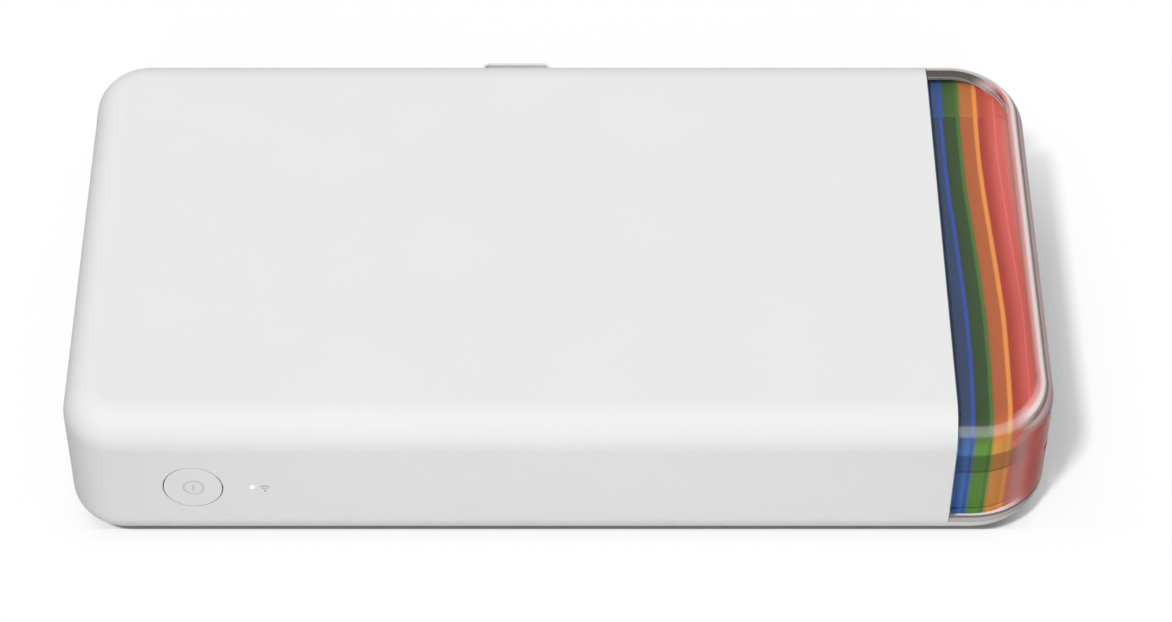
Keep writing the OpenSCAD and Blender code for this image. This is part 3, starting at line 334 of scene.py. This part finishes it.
def filmColour(tree, place):
    x, y, z = splitPlace(tree, place)
    swell = math2(tree, "SINE", math2(tree, "DIVIDE", y, filmValues["length"]))
    drift = times(tree, swell, filmValues["wave"])
    loose = minus(tree, noiseOf(tree, place, filmValues["wanderGrain"], 1), 0.5)
    wander = times(tree, loose, filmValues["wander"])
    along = math2(tree, "ADD", math2(tree, "ADD", x, drift), wander)
    factor = spread(tree, along, 0, 1, filmValues["from"], filmValues["to"])
    at, soft = filmValues["step"], filmValues["stepSoft"]
    # painted light: behind the step and along its line the top turns to the paler front hues
    behind = spread(tree, y, 0, filmValues["stepPaintedPale"], at - soft, at + soft, True)
    edge = times(tree, lineAt(tree, y, at, *filmValues["stepLine"]), filmValues["stepDeep"])
    high = spread(tree, z, 0, 1, *filmValues["topFrom"], True)
    onTop = times(tree, high, minus(tree, 1, larger(tree, behind, edge)))
    front = hueRamp(tree, factor, filmValues["frontHues"])
    # painted shade: the top takes the darker top hues
    colour = mixColours(tree, onTop, front, hueRamp(tree, factor, filmValues["topShadedHues"]))
    # painted light: lighter lines that follow the waves
    for at, half, hue in filmValues["paintedLightLines"]:
        line = lineAt(tree, factor, at, half, half * filmValues["paintedLightSoft"])
        colour = mixColours(tree, line, colour, hue)
    return colour


# the colour times gain between two heights, with an edge softness for the lower and the upper
def gainBetween(tree, colour, z, low, high, softLow, softHigh, gain):
    above = spread(tree, z, 0, 1, low - softLow, low + softLow, True)
    below = spread(tree, z, 1, 0, high - softHigh, high + softHigh, True)
    return mixColours(tree, times(tree, above, below), colour, gain, True)


# painted shade where the guide stands behind the liner, and painted light on the liner's shoulder
tinted, tree, shader, place = startMaterial("tintedFilm")
x, y, z = splitPlace(tree, place)
colour = filmColour(tree, place)
# painted shade over the ledge, painted light over the shoulder
for part in ("ledgeShade", "shoulderLight"):
    colour = gainBetween(tree, colour, z, *filmValues[part])
# painted shade: a thin dark line along the guide's slot behind the liner, with a slight groove
line = lineAt(tree, z, *filmValues["slotLine"])
slot = times(tree, line, filmValues["slotDeep"])
colour = mixColours(tree, slot, colour, filmValues["slotShadeHue"])
tree.links.new(colour, shader.inputs["Base Color"])
roughFrom(tree, shader, place, *filmValues["rough"])
shader.inputs["Specular IOR Level"].default_value = filmValues["gloss"]
bumpFrom(tree, shader, minus(tree, 1, line), filmValues["slotDepth"])
clear = tree.nodes.new("ShaderNodeBsdfTransparent")
tree.links.new(colour, clear.inputs["Color"])
rays = tree.nodes.new("ShaderNodeLightPath")
share = spread(
    tree, rays.outputs["Is Shadow Ray"], filmValues["clear"], filmValues["shadowClear"], 0, 1
)
mixSurfaces(tree, share, shader, clear)
dress(tinted, "tint_liner")

# bottom cover: the lip under the clear cap wears the liner's hues, with their painted light and
# shade, and below the base edge the underside is painted grey as shade
baseValues = {
    "lip": 4.72, "capFrom": 59.4, "edge": 2.55, "soft": 0.15, "shadeGrey": (0.22, 0.22, 0.22),
}
baseWhite, tree, shader, place = startWhite("baseWhite")
x, y, z = splitPlace(tree, place)
edge, soft = baseValues["edge"], baseValues["soft"]
# painted shade: grey below the base edge, where the underside turns away from the light
under = spread(tree, z, 1, 0, edge - soft, edge + soft, True)
paintOver(tree, shader, under, baseValues["shadeGrey"])
lip = times(
    tree, math2(tree, "GREATER_THAN", z, baseValues["lip"]),
    math2(tree, "GREATER_THAN", x, baseValues["capFrom"]),
)
paintOver(tree, shader, lip, filmColour(tree, place))
dress(baseWhite, "bottom_cover")

# clear cap: smoked plastic. Along its top edge the look of the thick wall is painted on the outer
# side, painted reflection and shade for the wall's total reflection: at the end a rose rim, a dark
# line and a pale highlight line, and behind a pale rim over a broad dark band
capValues = {
    "tint": (0.99, 0.97, 0.97), "shade": (0.96, 0.93, 0.93), "haze": 0.15,
    "rough": (4, 0.02, 0.05), "ior": 1.08, "coatIor": 2.4,
    "light": (0.97, 0.96, 0.96), "dim": (0.20, 0.18, 0.18),
    "dimSide": (73.2, 73.8), "dimRear": (33.3, 34.3),
    "end": 75.0, "middleY": -1.3, "halfDepth": 40.0, "corner": 12.0, "top": 27.0, "fillet": 5.4,
    "inner": -1.0, "endDepth": 3.2, "rearDepth": 6.4, "turn": 0.8,
    "rearTurn": (0.30, 0.90), "frontTurn": (0.62, 0.95),
    "endRimLightAndShade": [
        (0.00, (0.860, 0.190, 0.170)),
        (0.12, (0.880, 0.250, 0.230)),
        (0.24, (1.000, 0.420, 0.400)),
        (0.35, (1.000, 0.880, 0.860)),
        (0.44, (1.000, 0.860, 0.840)),
        (0.50, (0.220, 0.120, 0.120)),
        (0.60, (0.220, 0.120, 0.120)),
        (0.68, (0.820, 0.560, 0.560)),
        (1.00, (0.620, 0.460, 0.460)),
    ],
    "endShare": (0.90, -3.3, -2.5),
    "rearRimLightAndShade": [
        (0.00, (0.060, 0.052, 0.038)),
        (0.42, (0.050, 0.045, 0.035)),
        (0.52, (0.700, 0.690, 0.660)),
        (1.00, (0.900, 0.880, 0.860)),
    ],
    "rearShare": (0.94, -5.7, -5.3), "glint": (-1.95, 0.50, 0.16),
    "line": (6.15, 0.32), "edgeShadeHue": (0.10, 0.06, 0.05),
    "foot": 5.8, "footHue": (0.50, 0.48, 0.47), "footShare": 0.85,
    "wall": (0.92, 4.0, 9.0), "wallHue": (0.80, 0.070, 0.045),
    "rise": 2.0, "rim": (20.6, 22.6), "rimHue": (20.9, 22.3),
}
smoked, tree, shader, place = startMaterial("smokedClear")
x, y, z = splitPlace(tree, place)


# how far a point lies outside a quarter plane whose two edges are a and b away
def outside(tree, a, b):
    corner = lengthOf(tree, larger(tree, a, 0), larger(tree, b, 0))
    return math2(tree, "ADD", corner, math2(tree, "MINIMUM", larger(tree, a, b), 0))


# how deep a point lies in the rounded body, so that the cap's inner side is told from the outer
planX = minus(tree, x, capValues["end"] - capValues["corner"])
fromMiddle = minus(tree, y, capValues["middleY"])
planY = minus(
    tree, math2(tree, "ABSOLUTE", fromMiddle), capValues["halfDepth"] - capValues["corner"]
)
plan = minus(tree, outside(tree, planX, planY), capValues["corner"])
inward = math2(tree, "ADD", plan, capValues["fillet"])
upward = minus(tree, z, capValues["top"] - capValues["fillet"])
depth = minus(tree, outside(tree, inward, upward), capValues["fillet"])
outer = math2(tree, "GREATER_THAN", depth, capValues["inner"])

# which way the plan faces at the rounded corners: 0 at the end, 1 at the front or the rear
across = larger(tree, planY, 0)
along = larger(tree, larger(tree, planX, 0), 0.001)
facing = math2(tree, "DIVIDE", across, lengthOf(tree, across, along))
behind = math2(tree, "GREATER_THAN", fromMiddle, 0)
toRear = times(tree, spread(tree, facing, 0, 1, *capValues["rearTurn"], True), behind)
toFront = times(tree, facing, minus(tree, 1, behind))

# the rim's painted reflection, shade and highlight, and how much of them shows
turned = minus(tree, plan, times(tree, toFront, capValues["turn"]))
endAt = spread(tree, turned, 0, 1, -capValues["endDepth"], 0)
rearAt = spread(tree, plan, 0, 1, -capValues["rearDepth"], 0)
rimHue = mixColours(
    tree, toRear, hueRamp(tree, endAt, capValues["endRimLightAndShade"]),
    hueRamp(tree, rearAt, capValues["rearRimLightAndShade"]),
)
endShare = times(
    tree, spread(tree, turned, 0, *capValues["endShare"], True),
    spread(tree, toFront, 1, 0, *capValues["frontTurn"], True),
)
rearShare = spread(tree, plan, 0, *capValues["rearShare"], True)
rimShare = tree.nodes.new("ShaderNodeMix")
for at, value in ((0, toRear), (2, endShare), (3, rearShare)):
    tree.links.new(value, rimShare.inputs[at])
risen = minus(tree, z, times(tree, toFront, capValues["rise"]))
aloft = times(tree, outer, spread(tree, risen, 0, 1, *capValues["rim"], True))
share = times(tree, rimShare.outputs[0], aloft)

# the end wall is deep red below that rim, and the cap's lower edge shows as a painted dark line of
# shade over grey
most, start, full = capValues["wall"]
endWall = times(tree, spread(tree, planX, 0, most, start, full, True), outer)
endWall = times(tree, endWall, spread(tree, risen, 1, 0, *capValues["rim"], True))
rimHue = mixColours(
    tree, spread(tree, risen, 0, 1, *capValues["rimHue"], True), capValues["wallHue"], rimHue
)
share = larger(tree, share, endWall)
foot = math2(tree, "LESS_THAN", z, capValues["foot"])
# painted shade: the dark line at the cap's lower edge
line = lineAt(tree, z, *capValues["line"])
rimHue = mixColours(tree, foot, rimHue, capValues["footHue"])
rimHue = mixColours(tree, line, rimHue, capValues["edgeShadeHue"])
low = times(tree, larger(tree, foot, line), capValues["footShare"])
share = larger(tree, share, times(tree, low, outer))

# the cap's surface: clear where no rim is painted, with a glint along the upper edge
haze = spread(tree, noiseOf(tree, place, capValues["haze"]), 0, 1)
clearHue = mixColours(tree, haze, capValues["tint"], capValues["shade"])
tree.links.new(mixColours(tree, share, clearHue, rimHue), shader.inputs["Base Color"])
roughFrom(tree, shader, place, *capValues["rough"])
tree.links.new(minus(tree, 1, share), shader.inputs["Transmission Weight"])
shader.inputs["IOR"].default_value = capValues["ior"]
shader.inputs["Coat IOR"].default_value = capValues["coatIor"]
glint = times(tree, outer, lineAt(tree, turned, *capValues["glint"]))
tree.links.new(times(tree, glint, minus(tree, 1, toRear)), shader.inputs["Coat Weight"])

# light passes the cap straight on, and is dimmed at its end and rear walls
through = tree.nodes.new("ShaderNodeBsdfTransparent")
dimmed = larger(
    tree, spread(tree, x, 0, 1, *capValues["dimSide"], True),
    spread(tree, y, 0, 1, *capValues["dimRear"], True),
)
tree.links.new(
    mixColours(tree, dimmed, capValues["light"], capValues["dim"]), through.inputs["Color"]
)
rays = tree.nodes.new("ShaderNodeLightPath")
lighting = larger(tree, rays.outputs["Is Shadow Ray"], rays.outputs["Is Diffuse Ray"])
mixSurfaces(tree, lighting, shader, through)
dress(smoked, "end_cap")
print("clear cap and liner dressed")

# status light
lightValues = {
    "colour": (0.95, 0.95, 0.94), "second": (0.9, 0.9, 0.9), "rough": (0.2, 0.3), "under": 0.3,
    "shine": 0.25,
}
lampWhite = makeFinish("lampWhite", lightValues)
shader = lampWhite.node_tree.nodes["Principled BSDF"]
shader.inputs["Emission Color"].default_value = (1, 1, 1, 1)
shader.inputs["Emission Strength"].default_value = lightValues["shine"]
dress(lampWhite, "status_lens")

# the rest, one dictionary of values per finish and the nodes that wear it
innerFinishes = [
    ("innerWhite", ["exit_guide"], {
        "colour": (0.72, 0.72, 0.71), "second": (0.77, 0.77, 0.76), "rough": (0.45, 0.55),
        "depth": 0.000008}),
    ("springBronze", ["door_spring", "door_catch"], {
        "colour": (0.62, 0.42, 0.20), "second": (0.68, 0.47, 0.24), "rough": (0.25, 0.38),
        "metal": 1, "stretch": (0.2, 1, 3), "depth": 0.000003}),
    ("groundSteel", [
        "hinge_pins", "case_screws", "gear_studs", "pickup_shaft", "capstan_roller", "platen_shaft",
        "head_pivot", "head_spring", "pinch_roller"], {
        "colour": (0.56, 0.56, 0.57), "second": (0.62, 0.62, 0.63), "rough": (0.2, 0.34),
        "metal": 1, "stretch": (1, 0.08, 1), "grain": 8, "depth": 0.000002}),
    ("zincSheet", ["side_plate", "rear_plate", "motor_plate", "head_bracket", "power_switch"], {
        "colour": (0.55, 0.56, 0.58), "second": (0.65, 0.66, 0.67), "rough": (0.3, 0.46),
        "metal": 1, "patches": 0.35, "grain": 4, "depth": 0.000004}),
    ("drawnSteel", ["motor_can", "usb_socket"], {
        "colour": (0.60, 0.61, 0.62), "second": (0.66, 0.67, 0.68), "rough": (0.22, 0.34),
        "metal": 1, "stretch": (1, 0.3, 1), "depth": 0.000003}),
    ("blackPlastic", ["cartridge_case", "switch_plunger"], {
        "colour": (0.022, 0.022, 0.024), "second": (0.030, 0.030, 0.032), "rough": (0.42, 0.6),
        "grain": 5, "depth": 0.00003}),
    ("chipBlack", ["board_chips"], {
        "colour": (0.018, 0.018, 0.020), "second": (0.028, 0.028, 0.030), "rough": (0.4, 0.55),
        "grain": 10, "speck": 0.12, "speckColour": (0.10, 0.10, 0.10)}),
    ("batteryWrap", ["battery_pack"], {
        "colour": (0.020, 0.045, 0.14), "second": (0.026, 0.055, 0.17), "rough": (0.25, 0.4),
        "coat": 0.3, "grain": 0.8, "depth": 0.00008}),
    ("footRubber", ["rubber_feet"], {
        "colour": (0.055, 0.055, 0.057), "second": (0.075, 0.075, 0.078), "rough": (0.7, 0.9),
        "grain": 7, "depth": 0.00004}),
    ("glassFilledGrey", ["chassis"], {
        "colour": (0.060, 0.064, 0.070), "second": (0.075, 0.080, 0.086), "rough": (0.5, 0.7),
        "grain": 4, "stretch": (0.4, 1, 1), "speck": 0.25, "speckColour": (0.14, 0.145, 0.15)}),
    ("turnedBrass", ["spacer_posts", "motor_pinion"], {
        "colour": (0.66, 0.50, 0.22), "second": (0.72, 0.56, 0.27), "rough": (0.2, 0.34),
        "metal": 1, "stretch": (1, 0.15, 1), "depth": 0.000003}),
    ("acetal", [
        "roller_bushes", "reduction_gear", "feed_gear", "pickup_gear", "capstan_gear",
        "take_up_gear"], {
        "colour": (0.74, 0.71, 0.60), "second": (0.79, 0.76, 0.66), "rough": (0.35, 0.5),
        "under": 0.2, "depth": 0.00001}),
    ("rollerRubber", ["pickup_tyres", "platen_rubber"], {
        "colour": (0.024, 0.024, 0.025), "second": (0.036, 0.036, 0.037), "rough": (0.65, 0.85),
        "grain": 9, "stretch": (1, 0.3, 1), "depth": 0.00003}),
    ("ceramic", ["print_head"], {
        "colour": (0.72, 0.69, 0.60), "second": (0.78, 0.75, 0.67), "rough": (0.18, 0.3),
        "coat": 0.5}),
    ("headAluminium", ["heat_sink"], {
        "colour": (0.66, 0.67, 0.69), "second": (0.72, 0.73, 0.75), "rough": (0.28, 0.42),
        "metal": 1, "stretch": (1, 0.1, 1), "depth": 0.000005}),
    ("spoolWhite", ["supply_core", "take_up_core"], {
        "colour": (0.62, 0.62, 0.60), "second": (0.68, 0.68, 0.66), "rough": (0.4, 0.55)}),
    ("ribbonFilm", ["supply_roll", "take_up_roll", "ribbon_web"], {
        "colour": (0.070, 0.020, 0.100), "second": (0.100, 0.028, 0.130), "rough": (0.12, 0.25),
        "coat": 0.4, "grain": 3, "stretch": (1, 0.05, 1), "depth": 0.00001}),
    ("photoPaper", ["paper_stack"], {
        "colour": (0.84, 0.84, 0.81), "second": (0.88, 0.88, 0.86), "rough": (0.2, 0.5),
        "grain": 9, "stretch": (0.05, 0.05, 2.2), "depth": 0.00004}),
]
for name, wearers, values in innerFinishes:
    dress(makeFinish(name, values), *wearers)

# circuit boards: solder mask with copper runs shimmering through and pale pads
boardValues = {
    "mask": (0.012, 0.085, 0.035), "run": (0.030, 0.160, 0.060), "pad": (0.66, 0.60, 0.42),
    "runScale": 0.45, "runGap": 0.035, "padScale": 0.42, "padEdge": (0.12, 0.15),
    "rough": (2, 0.25, 0.4), "depth": 0.00003,
}
boardGreen, tree, shader, place = startMaterial("boardGreen")
runs = tree.nodes.new("ShaderNodeTexBrick")
runs.inputs["Scale"].default_value = boardValues["runScale"]
runs.inputs["Mortar Size"].default_value = boardValues["runGap"]
tree.links.new(place, runs.inputs["Vector"])
pads = tree.nodes.new("ShaderNodeTexVoronoi")
pads.inputs["Scale"].default_value = boardValues["padScale"]
tree.links.new(place, pads.inputs["Vector"])
padMask = spread(tree, pads.outputs["Distance"], 1, 0, *boardValues["padEdge"])
colour = mixColours(tree, runs.outputs["Fac"], boardValues["mask"], boardValues["run"])
tree.links.new(mixColours(tree, padMask, colour, boardValues["pad"]), shader.inputs["Base Color"])
roughFrom(tree, shader, place, *boardValues["rough"])
raised = math2(tree, "ADD", runs.outputs["Fac"], padMask)
bumpFrom(tree, shader, raised, boardValues["depth"])
dress(boardGreen, "main_board", "button_board")

# flexible cable: amber film over parallel conductors
flexValues = {
    "film": (0.50, 0.22, 0.035), "copper": (0.75, 0.40, 0.16), "pitch": 0.8,
    "laneEdge": (0.3, 0.42), "rough": (1.5, 0.15, 0.3), "depth": 0.00004,
}
flexAmber, tree, shader, place = startMaterial("flexAmber")
x, y, z = splitPlace(tree, place)
lane = math2(tree, "PINGPONG", y, flexValues["pitch"])
laneMask = spread(tree, lane, 0, 1, *flexValues["laneEdge"])
colour = mixColours(tree, laneMask, flexValues["film"], flexValues["copper"])
tree.links.new(colour, shader.inputs["Base Color"])
roughFrom(tree, shader, place, *flexValues["rough"])
bumpFrom(tree, shader, laneMask, flexValues["depth"])
dress(flexAmber, "head_flex")
print("inner pieces dressed")

# floor: white where it is seen. It throws more light back far in front than near, and little at
# both sides. A share of what is seen is emitted white, painted light that grows in front, behind
# and at the left, so that shadows stay pale behind, and none of it in the thin gap under the front
# edge
floorValues = {
    "half": 4.0, "seen": (1.0, 1.0, 1.0), "near": (0.62, 0.62, 0.62), "far": (0.98, 0.98, 0.98),
    "sides": (0.08, 0.08, 0.08), "farNear": (-78, -46), "side": (70, 77), "sideFront": (-50, -42),
    "sideFar": (78, 100), "left": (-80, -62), "even": 0.22, "evenRear": 0.85, "rear": (16.0, 70.0),
    "evenFront": (1.0, 0.70), "front": (-45.5, -38.8), "gap": -38.75, "gapSide": (66, 74),
}
bpy.ops.object.select_all(action="DESELECT")
bpy.ops.mesh.primitive_plane_add(size=2 * floorValues["half"], location=(0, 0, 0))
floor = bpy.context.object
floor.name = "floor"
floorMat, tree, shader, place = startMaterial("paleFloor")
x, y, z = splitPlace(tree, place)
fromSide = math2(tree, "ABSOLUTE", x)
aside = times(
    tree, spread(tree, fromSide, 0, 1, *floorValues["side"], True),
    spread(tree, y, 0, 1, *floorValues["sideFront"], True),
)
aside = larger(tree, aside, spread(tree, fromSide, 0, 1, *floorValues["sideFar"], True))
ahead = spread(tree, y, 1, 0, *floorValues["farNear"], True)
bounce = mixColours(tree, ahead, floorValues["near"], floorValues["far"])
bounce = mixColours(tree, aside, bounce, floorValues["sides"])
seen = seenRays(tree)
tree.links.new(
    mixColours(tree, seen, bounce, floorValues["seen"]), shader.inputs["Base Color"]
)
shader.inputs["Roughness"].default_value = 1
shader.inputs["Specular IOR Level"].default_value = 0
inFront = spread(tree, y, *floorValues["evenFront"], *floorValues["front"], True)
before = math2(tree, "LESS_THAN", y, floorValues["front"][1])
behind = spread(tree, y, floorValues["even"], floorValues["evenRear"], *floorValues["rear"], True)
leftward = spread(tree, x, floorValues["evenRear"], 0, *floorValues["left"], True)
paintedLightShare = larger(tree, times(tree, inFront, before), larger(tree, behind, leftward))
gap = times(
    tree, math2(tree, "GREATER_THAN", y, floorValues["gap"]),
    spread(tree, fromSide, 1, 0, *floorValues["gapSide"], True),
)
paintedLightShare = times(tree, paintedLightShare, minus(tree, 1, gap))
even = tree.nodes.new("ShaderNodeEmission")
even.inputs["Strength"].default_value = 1
mixSurfaces(tree, times(tree, seen, paintedLightShare), shader, even)
floor.data.materials.append(floorMat)

# light: a sky that is bright in front, behind and above and dark at both sides
skyValues = {"high": 0.75, "low": 0.0, "dark": 0.62, "lean": 0.08, "seen": 1.0}
world = bpy.data.worlds.new("studio")
bpy.context.scene.world = world
world.use_nodes = True
tree = world.node_tree
direction = tree.nodes.new("ShaderNodeTexCoord")
across, ahead, height = splitPlace(tree, direction.outputs["Generated"])
across = minus(tree, across, skyValues["lean"])
side = times(tree, across, across)
fill = tree.nodes["Background"]
fill.inputs["Color"].default_value = (1, 1, 1, 1)
tree.links.new(
    spread(tree, side, skyValues["high"], skyValues["low"], 0, skyValues["dark"]),
    fill.inputs["Strength"],
)
seen = tree.nodes.new("ShaderNodeBackground")
seen.inputs["Color"].default_value = (1, 1, 1, 1)
seen.inputs["Strength"].default_value = skyValues["seen"]
mixSurfaces(tree, seenRays(tree), fill, seen, "World Output")

# distant lamp: high in front at the left, so that the shadow falls to the right and back
keyValues = {"strength": 2.02, "angle": 6.5, "tiltX": 25.8, "tiltY": -20.3}
keyData = bpy.data.lights.new("keyLamp", "SUN")
keyData.energy = keyValues["strength"]
keyData.angle = math.radians(keyValues["angle"])
keyLamp = bpy.data.objects.new("keyLamp", keyData)
keyLamp.rotation_euler = (
    math.radians(keyValues["tiltX"]), math.radians(keyValues["tiltY"]), 0
)
bpy.context.scene.collection.objects.link(keyLamp)

bpy.context.scene.view_settings.view_transform = "Standard"
print("floor and light set")
